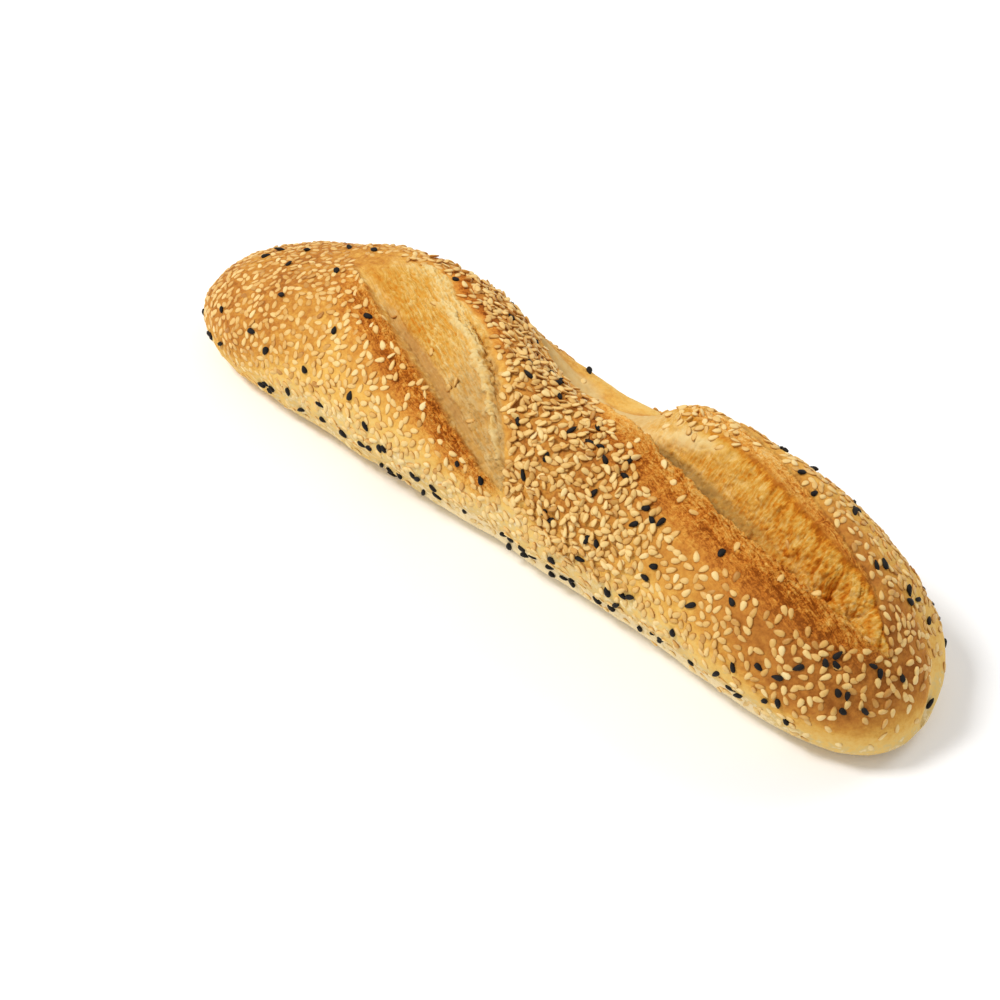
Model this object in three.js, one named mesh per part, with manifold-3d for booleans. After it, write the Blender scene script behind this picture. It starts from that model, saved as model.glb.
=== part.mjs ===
// A mini baguette: one hand-rolled loaf with a flat base, rounded ends and two slanting scores.
// Millimetres, +Z up. The loaf lies along X, and the origin is in the middle of its base.

import * as THREE from "three";
import { mergeVertices } from "three/addons/utils/BufferGeometryUtils.js";
import Module from "manifold-3d";

// Driving dimensions. The bend is how far the two tips are drawn towards the near side.
const LENGTH = 262;
const WIDTH = 64;
const HEIGHT = 48.5;
const BEND = 2.4;

// Long profile, as a pair for the -X and the +X end: a larger fullness stays full nearer to the tip
const TIP_HEIGHT = 6;
const GIRTH_HEIGHT = 20.5;
const SIDE_FULLNESS = [6.5, 9];
const CROWN_FULLNESS = [2.45, 4.3];
const BASE_FULLNESS = [8, 18];

// Cross-section: a smaller roundness makes a boxier curve
const CROWN_ROUNDNESS = 0.95;
const FLANK_ROUNDNESS = 0.72;
const BELLY_ROUNDNESS = 0.8;
const BASE_SPREAD = 1.12;

// The crease between belly and foot, on both long sides
const CREASE_HEIGHT = 10;
const CREASE_DEPTH = 1.8;
const CREASE_REACH = 3.5;

// Swells and dents are laid out on the unrolled skin: x along the loaf, w across it from the crown line.
// They are a saddle where the second score starts, the shoulder beyond it, and the two ends.
const SKIN_RADIUS = 29;
const SWELLS = [
  { x: 2, w: 20, reachAlong: 28, reachAcross: 20, rise: -12 },
  { x: 32, w: 18, reachAlong: 9, reachAcross: 9, rise: 3.4 },
  { x: 78, w: 20, reachAlong: 25, reachAcross: 14, rise: 3.6 },
  { x: 119, w: 22, reachAlong: 15, reachAcross: 14, rise: -2.6 },
  { x: -60, w: 18, reachAlong: 22, reachAcross: 12, rise: 2.8 },
  { x: -82, w: 20, reachAlong: 15, reachAcross: 9, rise: 1.8 },
  { x: -124, w: -5, reachAlong: 14, reachAcross: 26, rise: 1.6 },
  { x: -94, w: 8, reachAlong: 18, reachAcross: 15, rise: -1.6 },
];
const SWELL_FADE = 0.3;

// The bridge between the scores stands up like a thick strand
const BRIDGE = { from: [-45, 24], to: [28, -32], rise: 1.8, reach: 10, fade: 0.2 };

// Each score is a straight chord on the unrolled skin. Its lips bowed away as it opened in the oven.
// Flares widen the far lip. Depth and ridge are given along the chord: the ridge is where the torn slope
// ends, as a share of the way from the near lip to the far one. A step starts the slope with a small scarp.
const SCORES = [
  {
    from: [-86, 5],
    to: [6, -37],
    nearBow: 2.5,
    farBow: 20,
    flares: [{ place: 0.2, reach: 0.12, width: 5 }],
    lip: 1.8,
    lipReach: 6,
    depth: [[0, 1.5], [0.1, 2.5], [0.2, 5], [0.45, 5.5], [0.7, 3.8], [1, 2.2]],
    ridge: [[0, 0.9], [0.35, 0.84], [0.6, 0.8], [1, 0.85]],
    floorEnd: 0.2,
    step: 0.35,
  },
  {
    from: [-28, 28],
    to: [120, -7],
    nearBow: 16,
    farBow: 6,
    flares: [
      { place: 0.1, reach: 0.08, width: 22 },
      { place: 0.22, reach: 0.14, width: 8 },
      { place: 0.9, reach: 0.06, width: 5 },
    ],
    lip: 4.6,
    lipReach: 9,
    depth: [[0, 7], [0.35, 8], [0.85, 8.5], [1, 5]],
    ridge: [[0, 0.95], [0.28, 0.9], [0.44, 0.68], [0.6, 0.74], [0.8, 0.78], [0.9, 0.9], [1, 0.95]],
    floorEnd: 0.38,
    step: 0,
  },
];
const BOW_FULLNESS = 0.6;
const DEPTH_FULLNESS = 0.45;
const LIP_START = 0.25;
const LIP_FULL = 0.55;

// The floor of a score drops steeply under the near lip, then slopes up to the ridge
const WALL_FOOT = 0.13;
const SCARP_REACH = 0.1;
const CUT_MARGIN = 1;
const CUT_CLEARANCE = 14;
const CUT_END = 0.004;

// Mesh density: rings are spaced nearly evenly along the loaf, and their corners crowd towards the crown
const STEPS_ROUND = 48;
const STEPS_ALONG = 80;
const EVENNESS = 0.75;
const CROWN_BIAS = 0.45;
const CUT_STEPS_ALONG = 44;
const CUT_STEPS_ACROSS = 12;
const WELD = 1e-3;

const CRUST_COLOUR = 0xd9a35c;

const { clamp, lerp, smoothstep } = THREE.MathUtils;

// A bell curve: 1 at distance 0, nearly 0 past twice the reach
function bell(distance, reach) {
  return Math.exp(-((distance / reach) ** 2));
}

// 1 in the middle of the loaf, falling to 0 at its tips
function fullness(x, powers) {
  const reach = Math.min(1, Math.abs((2 * x) / LENGTH));
  const power = x < 0 ? powers[0] : powers[1];
  return Math.sqrt(1 - reach ** power);
}

// A value at a place along a score, from pairs of a place and a value
function valueAt(pairs, place) {
  const next = Math.max(1, pairs.findIndex(([at]) => at >= place));
  const [start, first] = pairs[next - 1];
  const [stop, second] = pairs[next];
  return lerp(first, second, (place - start) / (stop - start));
}

// How far a score has opened, 0 at both ends of its chord
function opening(along, power) {
  return Math.sin(Math.PI * clamp(along, 0, 1)) ** power;
}

// The chord of a score or of the bridge: its direction on the unrolled skin and its length
function chordOf(line) {
  const chord = new THREE.Vector2(line.to[0] - line.from[0], line.to[1] - line.from[1]);
  const span = chord.length();
  return { chord: chord.divideScalar(span), span };
}

// Where a point of the unrolled skin is beside a chord: a share along it, and a distance off it
function besideChord(line, x, w) {
  const { chord, span } = chordOf(line);
  const point = new THREE.Vector2(x - line.from[0], w - line.from[1]);
  return { along: point.dot(chord) / span, aside: chord.cross(point) };
}

// Distances of the two lips from the chord
function lipsAt(score, along) {
  const open = opening(along, BOW_FULLNESS);
  const flares = score.flares.map((flare) => flare.width * bell(along - flare.place, flare.reach));
  const widest = flares.reduce((sum, width) => sum + width, score.farBow);
  return { near: -score.nearBow * open, far: widest * open };
}

// The swelling of the crust along a score's far lip
function lipRise(score, x, w) {
  const { along, aside } = besideChord(score, x, w);
  const open = opening(along, BOW_FULLNESS) * smoothstep(along, LIP_START, LIP_FULL);
  return score.lip * open * bell(aside - lipsAt(score, along).far, score.lipReach);
}

function bridgeRise(x, w) {
  const { along, aside } = besideChord(BRIDGE, x, w);
  const { rise, reach, fade } = BRIDGE;
  const stretch = smoothstep(along, -fade, fade) * smoothstep(1 - along, -fade, fade);
  return rise * stretch * bell(aside, reach);
}

function swellRise(swell, x, w) {
  const distance = Math.hypot((x - swell.x) / swell.reachAlong, (w - swell.w) / swell.reachAcross);
  return swell.rise * bell(distance, 1);
}

// Everything that lifts or lowers the upper skin, apart from the cuts
function rise(x, w) {
  const lips = SCORES.reduce((sum, score) => sum + lipRise(score, x, w), 0);
  return SWELLS.reduce((sum, swell) => sum + swellRise(swell, x, w), lips + bridgeRise(x, w));
}

// A point on the loaf's skin, or lifted off it: x along the loaf, and an angle across it
// that is 0 on the far side and a quarter turn on the crown
function skinPoint(x, angle, lift = 0) {
  const crown = fullness(x, CROWN_FULLNESS);
  const top = lerp(TIP_HEIGHT, HEIGHT, crown);
  const girth = lerp(TIP_HEIGHT, GIRTH_HEIGHT, crown);
  const base = TIP_HEIGHT * (1 - fullness(x, BASE_FULLNESS));
  const half = (WIDTH / 2) * fullness(x, SIDE_FULLNESS);
  const bend = BEND * ((2 * x) / LENGTH) ** 2;
  const out = Math.cos(angle);
  const up = Math.sin(angle);
  if (up < 0) {
    const drop = Math.min(1, BASE_SPREAD * Math.abs(up) ** BELLY_ROUNDNESS);
    const z = lerp(girth, base, drop);
    const crease = CREASE_DEPTH * crown ** 3 * bell(z - CREASE_HEIGHT, CREASE_REACH);
    const y = Math.sign(out) * (half * Math.abs(out) ** FLANK_ROUNDNESS - crease * Math.abs(out));
    return new THREE.Vector3(x, y - bend, z);
  }
  const point = new THREE.Vector3(x, half * out - bend, lerp(girth, top, up ** CROWN_ROUNDNESS));
  const w = SKIN_RADIUS * (Math.PI / 2 - angle);
  const normal = new THREE.Vector3(0, out / Math.max(half, 1), up / Math.max(top - girth, 1));
  const fade = smoothstep(up, 0, SWELL_FADE) * Math.min(1, half);
  return point.addScaledVector(normal.normalize(), rise(x, w) * fade + lift);
}

// Moves every vertex of a geometry and welds it into one closed surface
function reshaped(geometry, move) {
  geometry.deleteAttribute("normal");
  geometry.deleteAttribute("uv");
  const place = geometry.getAttribute("position");
  for (let i = 0; i < place.count; i++) {
    const spot = move(new THREE.Vector3().fromBufferAttribute(place, i));
    place.setXYZ(i, spot.x, spot.y, spot.z);
  }
  return mergeVertices(geometry, WELD);
}

// The unscored loaf, from a sphere whose poles become the two tips
function loafGeometry() {
  return reshaped(new THREE.SphereGeometry(1, STEPS_ROUND, STEPS_ALONG), (unit) => {
    const polar = Math.acos(clamp(unit.y, -1, 1));
    const x = (LENGTH / 2) * lerp(unit.y, 1 - (2 * polar) / Math.PI, EVENNESS);
    const share = Math.atan2(unit.z, unit.x) / Math.PI;
    const turn = Math.PI * share * lerp(1, share ** 2, CROWN_BIAS);
    return skinPoint(x, Math.PI / 2 - turn);
  });
}

// Depth of a score's floor between its lips, as a share of the full depth. Past the ridge it clears the skin.
function floorShare(score, along, across) {
  const wall = Math.sin((Math.PI / 2) * Math.min(1, across / WALL_FOOT));
  const ridge = valueAt(score.ridge, along);
  const rest = Math.min(1, (ridge - across) / (ridge - score.floorEnd));
  const scarp = 1 - smoothstep(across, score.floorEnd, score.floorEnd + SCARP_REACH);
  return wall * lerp(rest, scarp, score.step);
}

// What one score takes out of the loaf, from a box laid along its chord
function scoreGeometry(score) {
  const { chord, span } = chordOf(score);
  const box = new THREE.BoxGeometry(1, 1, 1, CUT_STEPS_ALONG, CUT_STEPS_ACROSS, 1);
  return reshaped(box, (unit) => {
    const along = clamp(unit.x + 0.5, CUT_END, 1 - CUT_END);
    const across = unit.y + 0.5;
    const lips = lipsAt(score, along);
    const aside = lerp(lips.near, lips.far, across);
    const x = score.from[0] + along * span * chord.x - aside * chord.y;
    const w = score.from[1] + along * span * chord.y + aside * chord.x;
    const depth = valueAt(score.depth, along) * opening(along, DEPTH_FULLNESS);
    const floor = lerp(CUT_MARGIN, -depth, floorShare(score, along, across));
    return skinPoint(x, Math.PI / 2 - w / SKIN_RADIUS, unit.z > 0 ? CUT_CLEARANCE : floor);
  });
}

const wasm = await Module();
wasm.setup();

function solidOf(geometry) {
  const vertProperties = new Float32Array(geometry.getAttribute("position").array);
  const triVerts = new Uint32Array(geometry.getIndex().array);
  return new wasm.Manifold(new wasm.Mesh({ numProp: 3, vertProperties, triVerts }));
}

function geometryOf(solid) {
  const mesh = solid.getMesh();
  const geometry = new THREE.BufferGeometry();
  geometry.setAttribute("position", new THREE.BufferAttribute(mesh.vertProperties, 3));
  geometry.setIndex(new THREE.BufferAttribute(mesh.triVerts, 1));
  return geometry;
}

const scored = SCORES.reduce(
  (solid, score) => solid.subtract(solidOf(scoreGeometry(score))),
  solidOf(loafGeometry()),
);

// The bend draws the loaf to one side, so it is moved back over the origin
const bread = geometryOf(scored);
bread.computeBoundingBox();
const middle = bread.boundingBox.getCenter(new THREE.Vector3());
bread.translate(0, -middle.y, 0);
bread.computeVertexNormals();

const crust = new THREE.MeshStandardMaterial({ color: CRUST_COLOUR, roughness: 0.7, metalness: 0 });
const loaf = new THREE.Mesh(bread, crust);
loaf.name = "loaf";

const baguette = new THREE.Group();
baguette.add(loaf);

export default baguette;
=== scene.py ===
import math

import bmesh
import bpy
import numpy as np
from mathutils import Matrix, Vector, noise


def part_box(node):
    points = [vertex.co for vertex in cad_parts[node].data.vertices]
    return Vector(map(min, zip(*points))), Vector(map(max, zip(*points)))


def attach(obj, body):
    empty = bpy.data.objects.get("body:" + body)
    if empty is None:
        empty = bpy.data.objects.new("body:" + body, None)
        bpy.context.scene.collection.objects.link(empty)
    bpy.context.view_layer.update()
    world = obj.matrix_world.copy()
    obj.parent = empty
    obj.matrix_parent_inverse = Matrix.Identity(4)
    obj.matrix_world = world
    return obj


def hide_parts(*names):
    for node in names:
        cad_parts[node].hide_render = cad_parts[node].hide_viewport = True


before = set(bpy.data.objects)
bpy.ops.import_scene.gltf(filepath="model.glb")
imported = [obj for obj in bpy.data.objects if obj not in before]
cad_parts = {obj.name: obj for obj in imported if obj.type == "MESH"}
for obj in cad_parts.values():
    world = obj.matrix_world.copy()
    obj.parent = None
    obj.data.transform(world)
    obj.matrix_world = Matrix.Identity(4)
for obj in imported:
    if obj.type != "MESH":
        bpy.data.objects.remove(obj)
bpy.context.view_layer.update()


# The loaf's form: wheat dough rolled by hand, slashed twice with a blade and baked on a tray.
# The ends stay blunt, the base is flat, and a crease runs above the foot on both long sides.
# Sizes are in millimetres. The mesh starts as a sphere with its poles at the tips.
MM = 0.001
low, high = (np.array(corner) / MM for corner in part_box("loaf"))

# The lips rise above the plain crown, and the tips bend sideways, which takes some of the width
LIP_RISE = 2.972
BEND = 2.4
BEND_ROOM = 0.702
LENGTH = high[0] - low[0]
WIDTH = high[1] - low[1] - BEND_ROOM
HEIGHT = high[2] - LIP_RISE
MIDDLE = high[1] - WIDTH / 2

TIP_HEIGHT = 6
GIRTH_HEIGHT = 20.5
SIDE_FULLNESS = (6.5, 9)
CROWN_FULLNESS = (2.45, 4.3)
BASE_FULLNESS = (8, 18)
CROWN_ROUNDNESS = 0.95
FLANK_ROUNDNESS = 0.72
BELLY_ROUNDNESS = 0.8
BASE_SPREAD = 1.12
CREASE_HEIGHT = 10
CREASE_DEPTH = 1.8
CREASE_REACH = 3.5

SKIN_RADIUS = 29
RINGS = 192
SIDES = 132
CROWN_BIAS = 0.35
OUTLINE_POINTS = 4001


def bell(distance, reach):
    """1 at distance 0, nearly 0 past twice the reach."""
    return np.exp(-((distance / reach) ** 2))


def ease(value, start, stop):
    """0 before start, 1 after stop, and smooth between them."""
    share = np.clip((value - start) / (stop - start), 0, 1)
    return share * share * (3 - 2 * share)


def fullness(x, powers):
    """1 in the middle of the loaf, falling to 0 at its tips."""
    reach = np.clip(np.abs(2 * x / LENGTH), 0, 1)
    return np.sqrt(1 - reach ** np.where(x < 0, powers[0], powers[1]))


def stations(share):
    """x of a ring at a share of the way from the +X tip, spaced evenly along the loaf's side outline."""
    x = LENGTH / 2 * np.cos(np.linspace(0, np.pi, OUTLINE_POINTS))
    side = WIDTH / 2 * fullness(x, SIDE_FULLNESS)
    run = np.concatenate([[0], np.cumsum(np.hypot(np.diff(x), np.diff(side)))])
    return np.interp(share * run[-1], run, x)


def unrolled(unit):
    """Where points of the starting sphere go: x along the loaf, and the turn from its crown line."""
    polar = np.arccos(np.clip(unit[:, 2], -1, 1))
    share = np.arctan2(-unit[:, 1], unit[:, 0]) / np.pi
    return stations(polar / np.pi), np.pi * share * (1 - CROWN_BIAS + CROWN_BIAS * share**2)


def plain_skin(x, turn):
    """The unscored loaf: x along it, and a turn from the crown line, positive towards the far side."""
    crown = fullness(x, CROWN_FULLNESS)
    top = TIP_HEIGHT + (HEIGHT - TIP_HEIGHT) * crown
    girth = TIP_HEIGHT + (GIRTH_HEIGHT - TIP_HEIGHT) * crown
    base = TIP_HEIGHT * (1 - fullness(x, BASE_FULLNESS))
    half = WIDTH / 2 * fullness(x, SIDE_FULLNESS)
    out = np.sin(turn)
    rise = np.cos(turn)
    drop = np.minimum(1, BASE_SPREAD * np.abs(rise) ** BELLY_ROUNDNESS)
    upper_z = girth + (top - girth) * np.abs(rise) ** CROWN_ROUNDNESS
    lower_z = girth - (girth - base) * drop
    crease = CREASE_DEPTH * crown**3 * bell(lower_z - CREASE_HEIGHT, CREASE_REACH)
    lower_y = np.sign(out) * (half * np.abs(out) ** FLANK_ROUNDNESS - crease * np.abs(out))
    upper = rise >= 0
    y = MIDDLE + np.where(upper, half * out, lower_y) - BEND * (2 * x / LENGTH) ** 2
    return np.stack([x, y, np.where(upper, upper_z, lower_z)], axis=1)


def grain(points, size, detail=2, shift=0.0, where=None, softness=1.0):
    """Noise from about -1 to 1, with lumps of that size. Less softness gives sharper detail."""
    chosen = np.ones(len(points), dtype=bool) if where is None else where > 0
    spots = points[chosen] / np.array(size) + shift
    values = np.zeros(len(points))
    values[chosen] = [noise.fractal(spot, softness, 2.0, detail) for spot in spots.tolist()]
    return values


def pits(points, size, reach, where):
    """Round pits, one for each cell of that size: 1 at the middle of a pit, 0 outside it."""
    chosen = where > 0
    values = np.zeros(len(points))
    spots = (points[chosen] / size).tolist()
    nearest = np.array([noise.voronoi(spot)[0][0] for spot in spots])
    values[chosen] = np.clip(1 - nearest / reach, 0, 1)
    return values


def flat_spots(along, across):
    """Places on the unrolled skin, for noise that follows it."""
    return np.stack([along, across, np.zeros_like(along)], axis=1)


# The scores: two slanting slashes that tore open in the oven, each a straight chord on the unrolled skin.
# The near lip is a thin ragged edge over a deep floor, and torn crumb slopes up from there to a ridge.
# Between the ridge and the far lip the skin is stretched and browned.
BOW_FULLNESS = 0.6
DEPTH_FULLNESS = 0.45
SLOPE_ROUNDNESS = 1.35
LIP_START = 0.25
LIP_FULL = 0.55
NEAR_LIP = 0.9
NEAR_LIP_REACH = 2.2
RAGGED = 0.8
RAGGED_SIZE = 5
WALL_FOOT = 0.13
SCARP_WIDTH = 0.1
END_MARGIN = 2


class Score:
    """One slash on the unrolled skin. Flares are places, reaches and widths past the far lip's bow."""

    def __init__(
        self, start, end, near_bow, far_bow, flares, lip, lip_reach, depth, floor_end, step, ridge, shift
    ):
        chord = np.array(end) - np.array(start)
        self.start = np.array(start)
        self.span = np.hypot(*chord)
        self.way = chord / self.span
        self.near_bow = near_bow
        self.far_bow = far_bow
        self.flares = flares
        self.lip = lip
        self.lip_reach = lip_reach
        self.depth_places, self.depth_sizes = zip(*depth)
        self.floor_end = floor_end
        self.step = step
        self.ridge_places, self.ridge_shares = zip(*ridge)
        self.shift = shift

    def lay(self, x, w):
        """Works out where each point of the skin is in this score."""
        spot = np.stack([x, w], axis=1) - self.start
        self.run = spot @ self.way
        self.along = self.run / self.span
        self.aside = self.way[0] * spot[:, 1] - self.way[1] * spot[:, 0]
        self.open = self.opening(BOW_FULLNESS)
        line = flat_spots(self.run, np.full_like(x, self.shift))
        ragged = RAGGED * np.minimum(1, 3 * self.open)
        near_tears = grain(line, RAGGED_SIZE, detail=5, where=self.open, softness=0.6)
        far_tears = grain(line, RAGGED_SIZE, detail=4, shift=7.3, where=self.open, softness=0.6)
        self.near = -self.near_bow * self.open + ragged * near_tears
        self.far = self.far_bow * self.open + ragged * far_tears
        for place, reach, width in self.flares:
            self.far += width * bell(self.along - place, reach) * self.open
        self.gap = np.maximum(self.far - self.near, 0.1)
        self.share = (self.aside - self.near) / self.gap
        self.inside = (self.share > 0) & (self.share < 1) & (self.along > 0) & (self.along < 1)
        self.ridge = np.interp(self.along, self.ridge_places, self.ridge_shares)
        self.depth = np.interp(self.along, self.depth_places, self.depth_sizes)

    def opening(self, power):
        """How far the score is open: 0 at its ends, 1 in the middle."""
        return np.sin(np.pi * np.clip(self.along, 0, 1)) ** power

    def close_to(self, before, beyond):
        """Marks the score with a margin outside its near and far lips."""
        across = (self.aside > self.near - before) & (self.aside < self.far + beyond)
        along = (self.run > -END_MARGIN) & (self.run < self.span + END_MARGIN)
        return across & along

    def floor(self):
        """Depth as a share: sheer under the near lip, then a floor, then a slope up to the ridge."""
        wall = np.sin(np.pi / 2 * np.clip(self.share / WALL_FOOT, 0, 1))
        rest = np.clip((self.ridge - self.share) / (self.ridge - self.floor_end), 0, 1)
        scarp = ease(self.share, self.floor_end + SCARP_WIDTH, self.floor_end)
        slope = (1 - self.step) * rest**SLOPE_ROUNDNESS + self.step * scarp
        return self.inside * wall * slope * self.opening(DEPTH_FULLNESS)

    def lips(self):
        """Rise of the crust at the far lip and along the near lip's edge."""
        swell = self.lip * self.open * ease(self.along, LIP_START, LIP_FULL)
        edge = NEAR_LIP * np.minimum(1, 2 * self.open)
        near_edge = edge * bell(self.aside - self.near, NEAR_LIP_REACH)
        return swell * bell(self.aside - self.far, self.lip_reach) + near_edge


first = Score(
    start=(-86, 5),
    end=(6, -37),
    near_bow=2.5,
    far_bow=20,
    flares=((0.02, 0.06, 25), (0.2, 0.12, 5)),
    lip=1.8,
    lip_reach=6,
    depth=((0, 0.4), (0.1, 1.6), (0.2, 5), (0.45, 5.5), (0.65, 3.2), (1, 1.4)),
    floor_end=0.2,
    step=0.35,
    ridge=((0, 0.9), (0.35, 0.84), (0.6, 0.8), (1, 0.85)),
    shift=0,
)
second = Score(
    start=(-28, 28),
    end=(120, -7),
    near_bow=16,
    far_bow=6,
    flares=((0.1, 0.08, 22), (0.22, 0.14, 8), (0.9, 0.06, 5)),
    lip=4.6,
    lip_reach=9,
    depth=((0, 7), (0.35, 8), (0.85, 8.5), (1, 5)),
    floor_end=0.38,
    step=0,
    ridge=((0, 0.95), (0.28, 0.9), (0.44, 0.68), (0.6, 0.74), (0.8, 0.78), (0.9, 0.9), (1, 0.95)),
    shift=50,
)


def put_in_order(shape):
    """Sorts vertices and faces by place, because the operators leave them in another order each run."""
    for rank, vertex in enumerate(sorted(shape.verts, key=lambda vertex: tuple(vertex.co))):
        vertex.index = rank
    shape.verts.sort()
    by_corners = sorted(shape.faces, key=lambda face: sorted(corner.index for corner in face.verts))
    for rank, face in enumerate(by_corners):
        face.index = rank
    shape.faces.sort()


# The faces in the scores are split twice, with these margins outside the near and the far lip
FINE_MARGINS = ((14, 5), (1.5, 1.5))
SIDE_LIMIT = np.pi / 2 + 0.1
shaping = bmesh.new()
bmesh.ops.create_uvsphere(shaping, u_segments=SIDES, v_segments=RINGS, radius=1)
for before, beyond in FINE_MARGINS:
    shaping.verts.index_update()
    ball = np.array([vertex.co for vertex in shaping.verts])
    x, turn = unrolled(ball / np.linalg.norm(ball, axis=1, keepdims=True))
    first.lay(x, SKIN_RADIUS * turn)
    second.lay(x, SKIN_RADIUS * turn)
    wanted = first.close_to(before, beyond) | second.close_to(before, beyond)
    wanted = wanted & (np.abs(turn) < SIDE_LIMIT)
    faces = [face for face in shaping.faces if any(wanted[corner.index] for corner in face.verts)]
    edges = list({edge for face in faces for edge in face.edges})
    bmesh.ops.subdivide_edges(shaping, edges=edges, cuts=1, use_grid_fill=True)
bmesh.ops.triangulate(shaping, faces=shaping.faces)
put_in_order(shaping)
loaf_mesh = bpy.data.meshes.new("loaf_crust")
shaping.to_mesh(loaf_mesh)
shaping.free()


def set_places(points):
    """Moves the loaf's vertices to points in millimetres, and gives back their outward directions."""
    loaf_mesh.vertices.foreach_set("co", (points * MM).ravel())
    loaf_mesh.update()
    outward = np.empty(3 * len(loaf_mesh.vertices))
    loaf_mesh.vertex_normals.foreach_get("vector", outward)
    return outward.reshape(-1, 3)


ball = np.empty(3 * len(loaf_mesh.vertices))
loaf_mesh.vertices.foreach_get("co", ball)
ball = ball.reshape(-1, 3)
x, turn = unrolled(ball / np.linalg.norm(ball, axis=1, keepdims=True))
w = SKIN_RADIUS * turn
upper = np.cos(turn) > 0
first.lay(x, w)
second.lay(x, w)
floor_first = first.floor()
floor_second = second.floor()

# A strand of skin left standing in the first score, with a slot behind it
RIM_SHARE = 0.74
RIM_HEIGHT = 1.5
RIM_REACH = 0.8
SLOT_SHARE = 0.88
SLOT_DEPTH = 2.4
SLOT_REACH = 1.1
RIM_WANDER = 0.04
RIM_WANDER_SIZE = 12
rim_line = flat_spots(first.run, np.zeros_like(x))
rim_wander = RIM_WANDER * grain(rim_line, RIM_WANDER_SIZE, detail=3, shift=2.2)
rim_stretch = ease(first.along, 0.34, 0.46) * ease(first.along, 1.0, 0.86)
slot_stretch = ease(first.along, 0.42, 0.55) * ease(first.along, 0.86, 0.66)
rim = RIM_HEIGHT * rim_stretch * bell((first.share - RIM_SHARE + rim_wander) * first.gap, RIM_REACH)
slot = SLOT_DEPTH * slot_stretch * bell((first.share - SLOT_SHARE + rim_wander) * first.gap, SLOT_REACH)

# Pockets that opened at the +X end of the second score: place along it, share across, reach and depth
POCKETS = ((0.70, 0.13, 2.0, 2.0), (0.80, 0.2, 2.6, 2.6), (0.87, 0.3, 2.8, 3.0), (0.925, 0.5, 2.6, 2.6))
POCKET_UNEVENNESS = 0.8
POCKET_GRAIN = 3
pockets = np.zeros_like(x)
for place, share, reach, depth in POCKETS:
    run_gap = second.run - place * second.span
    share_gap = (second.share - share) * second.gap
    pockets += depth * bell(np.hypot(run_gap, share_gap), reach) * second.inside
second_spots = flat_spots(second.run, second.aside)
pocket_lumps = grain(second_spots, POCKET_GRAIN, detail=3, shift=5.1, where=pockets - 0.05)
pockets *= 1 + POCKET_UNEVENNESS * pocket_lumps

# Swells and dents of the whole form: place on the unrolled skin, reach along and across, and height.
# They are a saddle where the second score starts, the shoulders beside the scores, and the two ends.
SWELLS = (
    (2, 20, 28, 20, -12),
    (-2, 35, 15, 9, -3.6),
    (32, 18, 9, 9, 3.4),
    (78, 20, 25, 14, 3.6),
    (119, 22, 15, 14, -2.6),
    (-60, 18, 22, 12, 2.8),
    (-82, 20, 15, 9, 1.8),
    (-124, -5, 14, 26, 1.6),
    (-94, 8, 18, 15, -1.6),
)
swell = np.zeros_like(x)
for place, across, reach_along, reach_across, rise in SWELLS:
    swell += rise * bell(np.hypot((x - place) / reach_along, (w - across) / reach_across), 1)

# The bridge between the scores stands up like a thick strand
BRIDGE_START = np.array((-45, 24))
BRIDGE_END = np.array((28, -32))
BRIDGE_HEIGHT = 1.8
BRIDGE_REACH = 10
bridge_span = np.linalg.norm(BRIDGE_END - BRIDGE_START)
bridge_way = (BRIDGE_END - BRIDGE_START) / bridge_span
bridge_spot = np.stack([x, w], axis=1) - BRIDGE_START
bridge_along = bridge_spot @ bridge_way / bridge_span
bridge_aside = bridge_way[0] * bridge_spot[:, 1] - bridge_way[1] * bridge_spot[:, 0]
bridge_stretch = ease(bridge_along, -0.2, 0.2) * ease(bridge_along, 1.2, 0.8)
bridge_rise = BRIDGE_HEIGHT * bell(bridge_aside, BRIDGE_REACH) * bridge_stretch

CROWN_FADE = 0.3
skin = plain_skin(x, turn)
outward = set_places(skin)
relief = first.lips() + second.lips() - first.depth * floor_first - second.depth * floor_second
relief += rim - slot - pockets + bridge_rise + swell
skin = skin + outward * (relief * ease(np.cos(turn), 0, CROWN_FADE))[:, None]
outward = set_places(skin)


# The loaf's surface: the oven left the crust lumpy, and wrinkled and flaked beside the scores' near lips.
# Torn crumb shows clumps, tufts and strands. Past the second score's ridge the skin is drawn into streaks.

# Areas of the second score: the smooth notch it starts with, the band of skin past its ridge,
# a cluster of knobs past the ridge and a ribbon of crumb. The patch is crust where the first score starts.
NOTCH_END = 0.42
NOTCH_FULL = 0.3
START_WANDER = 0.06
START_WANDER_SIZE = 6
CLUSTER_ALONG = 0.455
CLUSTER_SHARE = 0.79
CLUSTER_STRETCH = 0.06
CLUSTER_REACH = 2.8
RIBBON_ALONG = 0.47
RIBBON_WIDTH = 1.7
RIBBON_STRETCH = 0.08
RIBBON_SHARE = 0.49
RIBBON_FROM = 0.43
RIBBON_DRIFT = 1.4
PATCH_PLACE = (-87, 10)
PATCH_REACH = (10, 6.5)
notch = ease(second.along, NOTCH_END, NOTCH_FULL)
start_wander = START_WANDER * grain(skin, START_WANDER_SIZE, detail=3, shift=1.1, where=first.inside)
crumb_first = first.inside * ease(first.share, 0, 0.08) * ease(first.share, 1, 0.93)
crumb_first = crumb_first * ease(first.along + start_wander, 0.02, 0.2)
crumb_second = second.inside * ease(second.share, 0, 0.05)
crumb_second = crumb_second * ease(second.share, second.ridge + 0.08, second.ridge - 0.05)
crumb = np.clip(crumb_first + crumb_second, 0, 1)
band = second.inside * (1 - crumb_second) * (second.share > 0.3) * (1 - notch)
band = band * ease(second.share, 1.0, 0.9)
cluster = bell(second.along - CLUSTER_ALONG, CLUSTER_STRETCH)
cluster = cluster * bell((second.share - CLUSTER_SHARE) * second.gap, CLUSTER_REACH) * upper
ribbon_share = RIBBON_SHARE + RIBBON_DRIFT * (second.along - RIBBON_FROM)
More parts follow.
